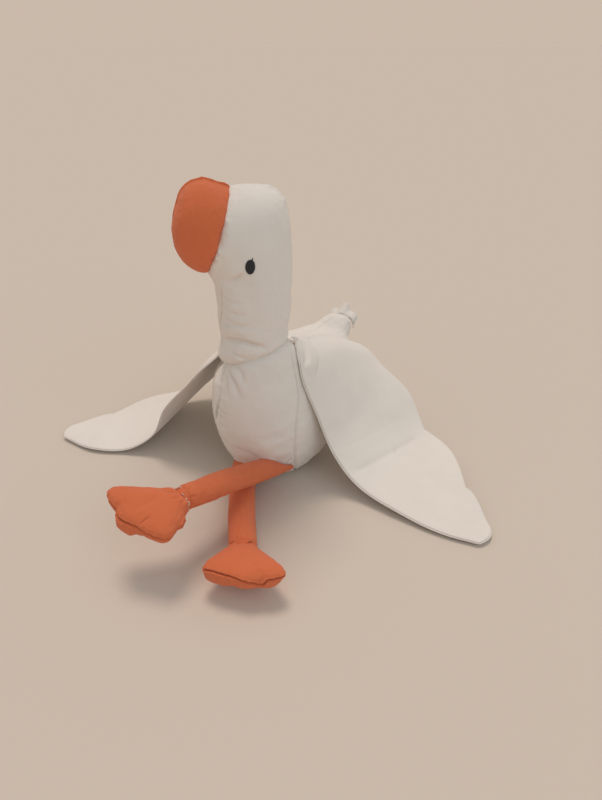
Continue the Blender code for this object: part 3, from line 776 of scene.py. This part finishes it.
def turned_cloth(name, steps, surface, trees, lifts, wave):
    """Two layers sewn together round the rim and turned out, so that a groove runs between them all round.

    surface(u, v) gives the middle surface in metres, lifts how far it lies off the members, and wave how
    uneven the layers are.
    """
    grid = [[surface(closer_at_rims(i / steps[0]), closer_at_rims(j / steps[1])) for j in range(steps[1] + 1)]
            for i in range(steps[0] + 1)]
    grid = laid_over(np.array(grid), trees, lifts)
    sheet = bmesh.new()
    bmesh.ops.create_grid(sheet, x_segments=steps[0], y_segments=steps[1], size=0.5)
    source = sheet.verts.layers.int.new("source")
    shaded_crease = sheet.verts.layers.float.new("shaded_crease")
    sheet.verts.index_update()
    for vert in sheet.verts:
        vert[source] = vert.index
        vert.co = grid[round((vert.co.x + 0.5) * steps[0]), round((vert.co.y + 0.5) * steps[1])]
        vert.co.z = max(vert.co.z, LOWEST_MIDDLE * MM)
    sheet.normal_update()
    if sum(vert.normal.z for vert in sheet.verts) < 0:
        bmesh.ops.reverse_faces(sheet, faces=sheet.faces)
        sheet.normal_update()
    rim = [vert for vert in sheet.verts if vert.is_boundary]
    tree = KDTree(len(rim))
    for i, vert in enumerate(rim):
        tree.insert(vert.co, i)
    tree.balance()
    middle = {vert.index: (vert.co.copy(), vert.normal.copy()) for vert in sheet.verts}
    inward = {}
    for vert in rim:
        inner = [edge.other_vert(vert) for edge in vert.link_edges if not edge.is_boundary]
        beside = [edge.other_vert(vert) for edge in vert.link_edges if edge.is_boundary]
        aim = inner[0].co - vert.co if inner else (beside[0].co + beside[1].co) / 2 - vert.co
        inward[vert.index] = aim.normalized()
    other = bmesh.ops.duplicate(sheet, geom=sheet.verts[:] + sheet.edges[:] + sheet.faces[:])["geom"]
    under = [item for item in other if isinstance(item, bmesh.types.BMVert)]
    bmesh.ops.reverse_faces(sheet, faces=[item for item in other if isinstance(item, bmesh.types.BMFace)])
    below = set(under)
    for vert in sheet.verts:
        place, normal = middle[vert[source]]
        gap = min(1.0, tree.find(place)[2] / (LIP_REACH * MM))
        half = LIP_HALF + (LAYER_HALF - LIP_HALF) * math.sqrt(1 - (1 - gap) ** 2)
        if vert in below:
            normal = -normal
        loose = noise.noise(place * 90 + normal * 0.7) * wave * gap
        vert.co = place + normal * (half + loose * 0.5) * MM
    for layer, profile in ((set(sheet.verts) - below, UPPER_RIM), (below, LOWER_RIM)):
        edges = [edge for edge in sheet.edges if edge.is_boundary and edge.verts[0] in layer]
        for out, height in profile:
            grown = bmesh.ops.extrude_edge_only(sheet, edges=edges)["geom"]
            edges = [item for item in grown if isinstance(item, bmesh.types.BMEdge) and item.is_boundary]
            for vert in {vert for edge in edges for vert in edge.verts}:
                place, normal = middle[vert[source]]
                vert.co = place - inward[vert[source]] * out * MM + normal * height * MM
                # Rim steps close in to the groove get painted shade, stored as their crease value.
                vert[shaded_crease] = RIM_SHADE if out < RIM_SHADE_OUT and height < RIM_SHADE_HEIGHT else 0.0
    bmesh.ops.remove_doubles(sheet, verts=sheet.verts, dist=1e-7)
    bmesh.ops.recalc_face_normals(sheet, faces=sheet.faces)
    mesh = bpy.data.meshes.new(name)
    sheet.to_mesh(mesh)
    sheet.free()
    return piece_from(name, mesh)


def wing(name, lines, node, grooves):
    """A flat cloth wing that stands for its solid."""
    trees = [tree_of(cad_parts[member].data) for member in WING_NEIGHBOURS]

    def surface(u, v):
        place = wing_point(lines, u, v) * MM
        if u < 0.01:
            place = trees[0].find_nearest(place)[0]
        return place + Vector((0, 0, 1)) * noise.noise(place * 38) * 0.9 * MM * min(1.0, u * 6)

    made = turned_cloth(name, WING_STEPS, surface, trees, WING_LIFTS, WING_WAVE)
    carve(made, grooves)
    lay_weave(made)
    hand_over(made, WHITE, "white_cotton", node)


def tail():
    """The pleated flap at the end of the rump."""
    trees = [tree_of(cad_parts["body"].data)]
    root = Vector(TAIL_ROOT)

    def surface(u, v):
        s, t = u * 2 - 1, v
        reach = Vector(TUFT_AIM) * TUFT_LENGTH * t * (1 - 0.25 * s * s)
        wide = TUFT_ROOT_HALF_WIDTH + (TUFT_HALF_WIDTH - TUFT_ROOT_HALF_WIDTH) * t * (1 - 0.4 * t * s * s)
        fold = TUFT_FOLDS * math.pi * s
        lift = TUFT_PLEAT * math.cos(fold) * t - TUFT_ARCH * s * s
        hook = 0.5 * math.sin(fold * 2) * t
        return (root + reach + Vector(TUFT_ACROSS) * (s * wide + hook) + Vector((0, 0, lift))) * MM

    made = turned_cloth("tail_flap", TAIL_STEPS, surface, trees, TAIL_LIFTS, TAIL_WAVE)
    lay_weave(made)
    hand_over(made, WHITE, "white_cotton", "tail")


# Seams of the legs and feet.

def leg_seam(path, radius, turn_deg):
    """A line along a leg, turned about it: 0 is its top."""
    line = []
    for i in range(9):
        t = i / 8
        ahead = (along(path, min(t + 0.01, 1.0)) - along(path, max(t - 0.01, 0.0))).normalized()
        across = ahead.cross(Vector((0, 0, 1))).normalized()
        turn = math.radians(turn_deg)
        aside = across * math.sin(turn) + across.cross(ahead) * math.cos(turn)
        line.append(along(path, t) + aside * radius)
    return line


def foot_frame(path, foot):
    """A foot's ankle, the way it points, the way across it and the way up from it."""
    ahead, across = Vector(foot[0]).normalized(), Vector(foot[1]).normalized()
    up = ahead.cross(across).normalized()
    return Vector(path[-1]), ahead, across, up if up.z > 0 else -up


def foot_seam(path, foot, most_ahead=99.0):
    """The seam round a foot's rim, as far ahead of the ankle as most_ahead."""
    ankle, ahead, across, _ = foot_frame(path, foot)
    rim = [p for p in smooth_line([(*p, 0) for p in FOOT_RIM], 2.0) if p.x <= most_ahead]
    both = [Vector((p.x, -p.y, 0)) for p in reversed(rim)] + rim[1:]
    return [ankle + ahead * p.x + across * p.y for p in both]


def foot_crease(path, foot, points):
    """A crease over a foot's top: points are (ahead, across) from its ankle."""
    ankle, ahead, across, up = foot_frame(path, foot)
    return [ankle + ahead * a + across * b + up * FOOT_TOP_RISE for a, b in points]


def ankle_ring(path, radius, ahead_by):
    """A ring about the end of a leg."""
    end, ahead, across, up = limb_end(path)
    ring = []
    for i in range(13):
        turn = i / 12 * 2 * math.pi
        ring.append(end + ahead * ahead_by + (across * math.sin(turn) + up * math.cos(turn)) * radius)
    return ring


def limb_grooves(path, radius, foot, seam_turn, toe_seam=None):
    """The grooves of a leg and of its foot: seams, gathers at the ankle and creases fanning over the foot."""
    leg = [groove(leg_seam(path, radius, seam_turn), 0.5, 0.5, lip=0.3, pucker=0.12, pitch=7.0, shade=0.6,
                  fade=0.05)]
    for turn in (-100, -60, -20, 25, 70, 120, 200):
        first, last = leg_seam(path, radius, turn)[-2:]
        leg.append(groove((first.lerp(last, 0.55), last), 0.4, 0.7, lip=0.12, shade=0.15, fade=0.45))
    leg.append(groove(ankle_ring(path, radius, -0.5), 0.35, 0.8, shade=0.2, fade=0.0))
    seams = [foot_seam(path, foot)] if toe_seam is None else [foot_seam(path, foot, TOE_SEAM_FROM), toe_seam]
    toes = [groove(seam, 0.8, 0.5, lip=0.4, pucker=0.25, pitch=4.5, reach=2.5, shade=0.85, fade=0.0)
            for seam in seams]
    toes.append(groove(ankle_ring(path, radius * 0.85, 1.0), 0.4, 0.9, shade=0.3, fade=0.0))
    for aside, far in ((-6, 8), (-2.5, 10), (2, 9), (6, 8)):
        shaded_crease = foot_crease(path, foot, ((1, aside * 0.6), (4, aside), (far, aside * 1.5)))
        toes.append(groove(shaded_crease, 0.5, 0.9, lip=0.15, shade=0.15, fade=0.4))
    return leg, toes


# The floor, the lights and the world.

def make_floor():
    floor = bmesh.new()
    bmesh.ops.create_grid(floor, x_segments=1, y_segments=1, size=60.0)
    mesh = bpy.data.meshes.new("floor")
    floor.to_mesh(mesh)
    floor.free()
    made = Recipe("pale_floor")
    made.shader.inputs["Base Color"].default_value = FLOOR_COLOUR
    made.shader.inputs["Roughness"].default_value = 0.95
    made.shader.inputs["Specular IOR Level"].default_value = 0.1
    mesh.materials.append(made.material)
    piece_from("floor", mesh)


def make_light(name, aim, spread_deg, strength, colour):
    """A far light that comes from aim, as soft as a lamp that spans spread_deg degrees."""
    lamp = bpy.data.lights.new(name, "SUN")
    lamp.angle = math.radians(spread_deg)
    lamp.energy = strength
    lamp.color = colour
    made = bpy.data.objects.new(name, lamp)
    made.location = aim
    made.rotation_mode = "QUATERNION"
    made.rotation_quaternion = Vector(aim).to_track_quat("Z", "Y")
    bpy.context.scene.collection.objects.link(made)


def make_world():
    """Soft light from all round, with a plain backdrop for the camera to see past the floor."""
    world = bpy.data.worlds.new("soft_studio")
    bpy.context.scene.world = world
    world.use_nodes = True
    tree = world.node_tree
    around = tree.nodes["Background"]
    around.inputs["Color"].default_value = SOFT_LIGHT_COLOUR
    around.inputs["Strength"].default_value = SOFT_LIGHT_LEVEL
    seen = tree.nodes.new("ShaderNodeBackground")
    seen.inputs["Color"].default_value = BACKDROP_COLOUR
    rays = tree.nodes.new("ShaderNodeLightPath")
    chosen = tree.nodes.new("ShaderNodeMixShader")
    tree.links.new(rays.outputs["Is Camera Ray"], chosen.inputs[0])
    tree.links.new(around.outputs[0], chosen.inputs[1])
    tree.links.new(seen.outputs[0], chosen.inputs[2])
    tree.links.new(chosen.outputs[0], tree.nodes["World Output"].inputs["Surface"])


make_camera()
make_floor()
make_light("window", (-0.20, 0.24, 0.95), 20.0, 1.10, (1.0, 0.83, 0.715))
make_light("room", (0.70, -0.40, 0.60), 40.0, 0.38, (0.68, 0.86, 1.0))
make_world()
bpy.context.scene.view_settings.view_transform = "Standard"

# Seams and creases of the body.
BELLY_SEAM_LEFT = (
    (23, -26, 95), (27, -26.7, 83), (29.3, -27.7, 70.5), (30.2, -31, 57.7), (29.8, -33.5, 44.4),
    (28.5, -32, 31), (26, -28, 18), (21, -18, 4), (17, -5, 0),
)
BELLY_SEAM_RIGHT = (
    (-14, -39, 85), (-14.8, -42.4, 77.6), (-15, -45.6, 69.5), (-16.5, -46, 61), (-21.3, -42.5, 48.9),
    (-22.6, -40.7, 43), (-21.8, -39.5, 37), (-22.8, -37.5, 30), (-21.8, -33, 22), (-19, -22, 4), (-15, -8, 0),
)
BACK_SEAM = ((1, 2, 92), (2, 27, 83), (3, 40, 76), (5, 51, 73.5), (9, 61, 74.5), (15, 70, 79))
body_grooves = [
    groove(BELLY_SEAM_LEFT, 0.8, 0.9, lip=0.25, pucker=0.22, shade=0.3, fade=0.03),
    groove(BELLY_SEAM_RIGHT, 0.8, 0.9, lip=0.3, pucker=0.35, shade=0.3, fade=0.03),
    groove(BACK_SEAM, 0.6, 0.7, lip=0.15, pucker=0.15, shade=0.2, fade=0.05),
    # Creases that fan down the belly from the collar.
    groove(((-12.2, -40, 86), (-5, -47, 82), (-1, -49.6, 77), (2.2, -50.2, 69)), 1.7, 1.7, roll=1.1,
           shade=0.1, fade=0.35),
    groove(((-6, -44, 89.5), (1.4, -47, 87), (4.5, -48.9, 79.8)), 1.3, 1.5, roll=0.8, shade=0.08, fade=0.35),
    groove(((-11, -42, 84), (-9, -47, 77), (-7, -49, 68)), 1.4, 1.6, roll=0.8, shade=0.08, fade=0.35),
    # The tuck over the left leg, and soft folds across the belly.
    groove(((28, -31, 24), (25.5, -34, 19), (23, -35, 15)), 1.2, 0.9, lip=0.5, shade=0.45, fade=0.3),
    groove(((-17, -46, 58), (-12, -48.5, 56), (-7, -49.5, 57)), 0.5, 1.4, roll=0.3, shade=0.1, fade=0.4),
    groove(((-21, -43, 46), (-16, -46, 44), (-11, -48, 45)), 0.5, 1.4, roll=0.3, shade=0.1, fade=0.4),
    groove(((6, -50, 76), (8, -50.5, 62), (9, -49, 48)), 0.35, 3.0, shade=0.0, fade=0.4),
    # Bumps above and below the closing seam, and hollows between its stitches.
    groove(((-15.8, -46.3, 64), (-14.9, -46.8, 59.5)), -0.9, 1.2, shade=0.0, fade=0.4),
    groove(((-23.2, -40.3, 45.2), (-19.2, -43.2, 43.4)), -1.1, 1.1, shade=0.0, fade=0.4),
    groove(((-16.6, -45.8, 53), (-16.0, -46.2, 48.5)), 0.9, 0.8, shade=0.35, fade=0.35),
    groove(((-21.9, -42.1, 52), (-21.3, -42.5, 49.5)), 0.8, 0.7, shade=0.35, fade=0.35),
    groove(((-21.9, -40, 39), (-21.8, -39.3, 36.5), (-22.6, -37.5, 30)), 0.8, 0.8, shade=0.4, fade=0.3),
]

# Seams and creases of the head and neck.
NECK_FRONT_SEAM = (
    (-8, -47.5, 138), (-9.3, -46, 130), (-10.3, -45.1, 122.4), (-12.5, -42.8, 113), (-14.5, -40.3, 104.2),
    (-13, -43.5, 94),
)
HEAD_BACK_SEAM = head_line(
    ((9, 187.3), (-1, 187), (-12, 184), (-20, 175), (-23, 160), (-23, 140), (-23, 120), (-21, 98)),
    (56, 56, 56, 54, 50, 42, 34, 31))
head_grooves = [
    groove(NECK_FRONT_SEAM, 0.7, 0.9, lip=0.3, pucker=0.15, shade=0.3, fade=0.1),
    groove(HEAD_BACK_SEAM, 0.6, 0.8, lip=0.2, pucker=0.2, shade=0.25, fade=0.03),
    # The crease under the cheek, and the two above the collar.
    groove(((-4, -50, 139.5), (3, -49.3, 143.5), (8.5, -48, 148)), 1.3, 1.5, roll=0.7, shade=0.12, fade=0.4),
    groove(((-13, -42, 103.5), (1.9, -47.2, 106.5), (11.1, -44.5, 104), (16.6, -39.4, 101)), 2.1, 1.9,
           roll=1.3, shade=0.1, fade=0.25),
    groove(((-6, -47, 99), (1, -47.5, 96.5), (7, -46, 95)), 0.9, 1.3, roll=0.4, shade=0.1, fade=0.4),
    # Faint folds across the front of the neck.
    groove(((-8, -46.5, 131), (0, -48.5, 129.5), (8, -46.5, 130)), 0.5, 1.4, roll=0.4, shade=0.05,
           fade=0.45),
    groove(((-8.5, -46, 125), (1, -48.3, 123), (10, -45, 124)), 0.55, 1.4, roll=0.45, shade=0.06,
           fade=0.45),
    groove(((-9, -45.5, 118.5), (2, -48, 116.5), (11, -44, 118)), 0.5, 1.4, roll=0.4, shade=0.05,
           fade=0.45),
    groove(((-8, -45.5, 111.5), (1, -47.8, 110), (9, -45, 111)), 0.4, 1.4, roll=0.3, shade=0.04, fade=0.45),
]

BEAK_PROFILE = ((9, 187), (16.5, 189.5), (24, 191.3), (34.5, 186), (40.5, 175), (41, 167), (40, 156),
                (36.5, 148.5), (31.5, 143.5), (25, 141))
BEAK_SEAM = [p + head_axes(HEAD_TURN_DEG)[1] * BEAK_SEAM_ASIDE
             for p in head_line(BEAK_PROFILE, (HEAD_TURN_DEG,) * len(BEAK_PROFILE))]
beak_grooves = [groove(BEAK_SEAM, 0.5, 0.5, lip=0.35, pucker=0.08, pitch=9.0, shade=0.75, fade=0.0)]

# Seams and creases of the legs and feet.
RIGHT_TOE_SEAM = (
    (19, -131, 17), (22.4, -132.2, 17.9), (28.1, -132.5, 19.5), (38.8, -131.5, 19), (49.1, -129.6, 17.1),
    (52.9, -127.4, 15.2), (54.6, -126.6, 16.6), (56.6, -125.5, 18.5), (61.3, -121.8, 18.3),
    (63.4, -118.5, 18.2), (63.5, -114.5, 17.5),
)
left_leg, left_foot = limb_grooves(LEFT_LEG_PATH, LEFT_LEG_RADIUS, LEFT_FOOT, -112)
right_leg, right_foot = limb_grooves(RIGHT_LEG_PATH, RIGHT_LEG_RADIUS, RIGHT_FOOT, -140, RIGHT_TOE_SEAM)
left_foot += [
    # A crease over the toes, the swell of the sole below them, and the swell of the inner side.
    groove(((-11.5, -137, 39.5), (-9, -134.5, 42), (-6.5, -131, 44)), 0.6, 0.8, shade=0.4, fade=0.35),
    groove(((-22.6, -133.2, 43.5), (-21, -134.5, 38.5), (-16.5, -136, 34.5), (-10, -135, 31.5)), -3.9, 4.0,
           shade=0.0, fade=0.35),
    groove(((3.6, -116, 34.4), (5, -121.5, 34), (5.5, -127.5, 33.5)), -1.8, 3.0, shade=0.0, fade=0.35),
]
right_foot.append(groove(((63, -121.5, 14), (61, -117, 12)), 1.6, 4.0, shade=0.0, fade=0.0))

# Creases of the wings.
left_wing_grooves = [
    groove(((62, -25.2, 16.2), (69.8, -13, 16.5), (77.6, 3, 16.7), (86, 21.3, 16.3), (93.4, 39, 15.5)), 0.5,
           2.4, roll=0.5, roll_width=5.0, shade=0.03, fade=0.15),
    groove(((21, -9, 99), (26.1, -10.9, 92.3), (29.6, -15.8, 87.1), (31, -22, 84)), 1.3, 1.8, roll=1.5,
           roll_width=3.5, shade=0.10, fade=0.2),
    groove(((80.7, 15.1, 17.9), (83.1, 7.7, 15.3)), 0.2, 0.35, shade=0.5, fade=0.3),
]
right_wing_grooves = [
    groove(((-24, -14, 84), (-33, -22, 76), (-42, -24, 66)), 0.7, 1.8, roll=0.7, roll_width=3.5, shade=0.05,
           fade=0.3),
]

# Each stuffed member: its node, the size of its cloth's faces, its grooves, its cloth, and how tight it is.
members = (
    ("body", 2.9, body_grooves, WHITE, "white_cotton", 0.8),
    ("head_neck", 2.0, head_grooves, WHITE, "white_cotton", 0.85),
    ("beak", 1.6, beak_grooves, ORANGE, "orange_cotton", 0.8),
    ("leg_left", 1.5, left_leg, ORANGE, "orange_cotton", 0.7),
    ("leg_right", 1.5, right_leg, ORANGE, "orange_cotton", 0.7),
    ("foot_left", 1.4, left_foot, ORANGE, "orange_cotton", 0.6),
    ("foot_right", 1.4, right_foot, ORANGE, "orange_cotton", 0.6),
)
SEWN_PAIRS = (("head_neck", "body"), ("beak", "head_neck"), ("leg_left", "body"), ("leg_right", "body"))
covers = []
for node, voxel, grooves, *_ in members:
    seams = [smooth_line(g["points"], 1.0) for g in grooves if g["fade"] <= HELD_FADE]
    covers.append(cover_of(node, voxel, seams))
stuff(covers)
for cover in covers:
    refine(cover)
by_node = {member[0]: cover for member, cover in zip(members, covers)}
press_together(by_node, SEWN_PAIRS)
sew_in(by_node["leg_left"], LEFT_LEG_PATH, LEFT_FOOT)
sew_in(by_node["leg_right"], RIGHT_LEG_PATH, RIGHT_FOOT)
for node, _, grooves, material, slot, fill in members:
    finish_cover(by_node[node], node, grooves, material, slot, fill)

wing("wing_left_cloth", LEFT_WING, "wing_left", left_wing_grooves)
wing("wing_right_cloth", RIGHT_WING, "wing_right", right_wing_grooves)
tail()

# Hand stitches.
LEFT_ANKLE = [
    ((-2.6, -110.0, 43.3), (-1.8, -110.1, 42.7), (-1.1, -110.1, 42.0)),
    ((1.2, -112.4, 41.0), (1.0, -111.7, 42.2), (1.5, -111.0, 43.0), (2.5, -110.8, 42.7)),
    ((2.8, -113.4, 39.0), (3.5, -112.3, 40.2), (3.7, -111.4, 41.5)),
] + round_the_ankle(LEFT_LEG_PATH, 6.5, (30, 65, 100, 135, 170, 205, 235), 12, 1.1)
RIGHT_ANKLE = round_the_ankle(RIGHT_LEG_PATH, 7.3, (-33, 105, 150, 195, 240), 9, 0.7)
eye("eye_left", by_node["head_neck"], 1)
eye("eye_right", by_node["head_neck"], -1)
closing_stitches(by_node["body"])
ankle_stitches("ankle_stitches_left", LEFT_LEG_PATH, LEFT_ANKLE,
               by_node["leg_left"], by_node["foot_left"], LEFT_ANKLE_THREAD_RADIUS,
               PALE, "pale_thread", "ankle_thread_left")
ankle_stitches("ankle_stitches_right", RIGHT_LEG_PATH, RIGHT_ANKLE,
               by_node["leg_right"], by_node["foot_right"], RIGHT_ANKLE_THREAD_RADIUS,
               SHADED_ORANGE_THREAD, "orange_cotton", "ankle_thread_right")
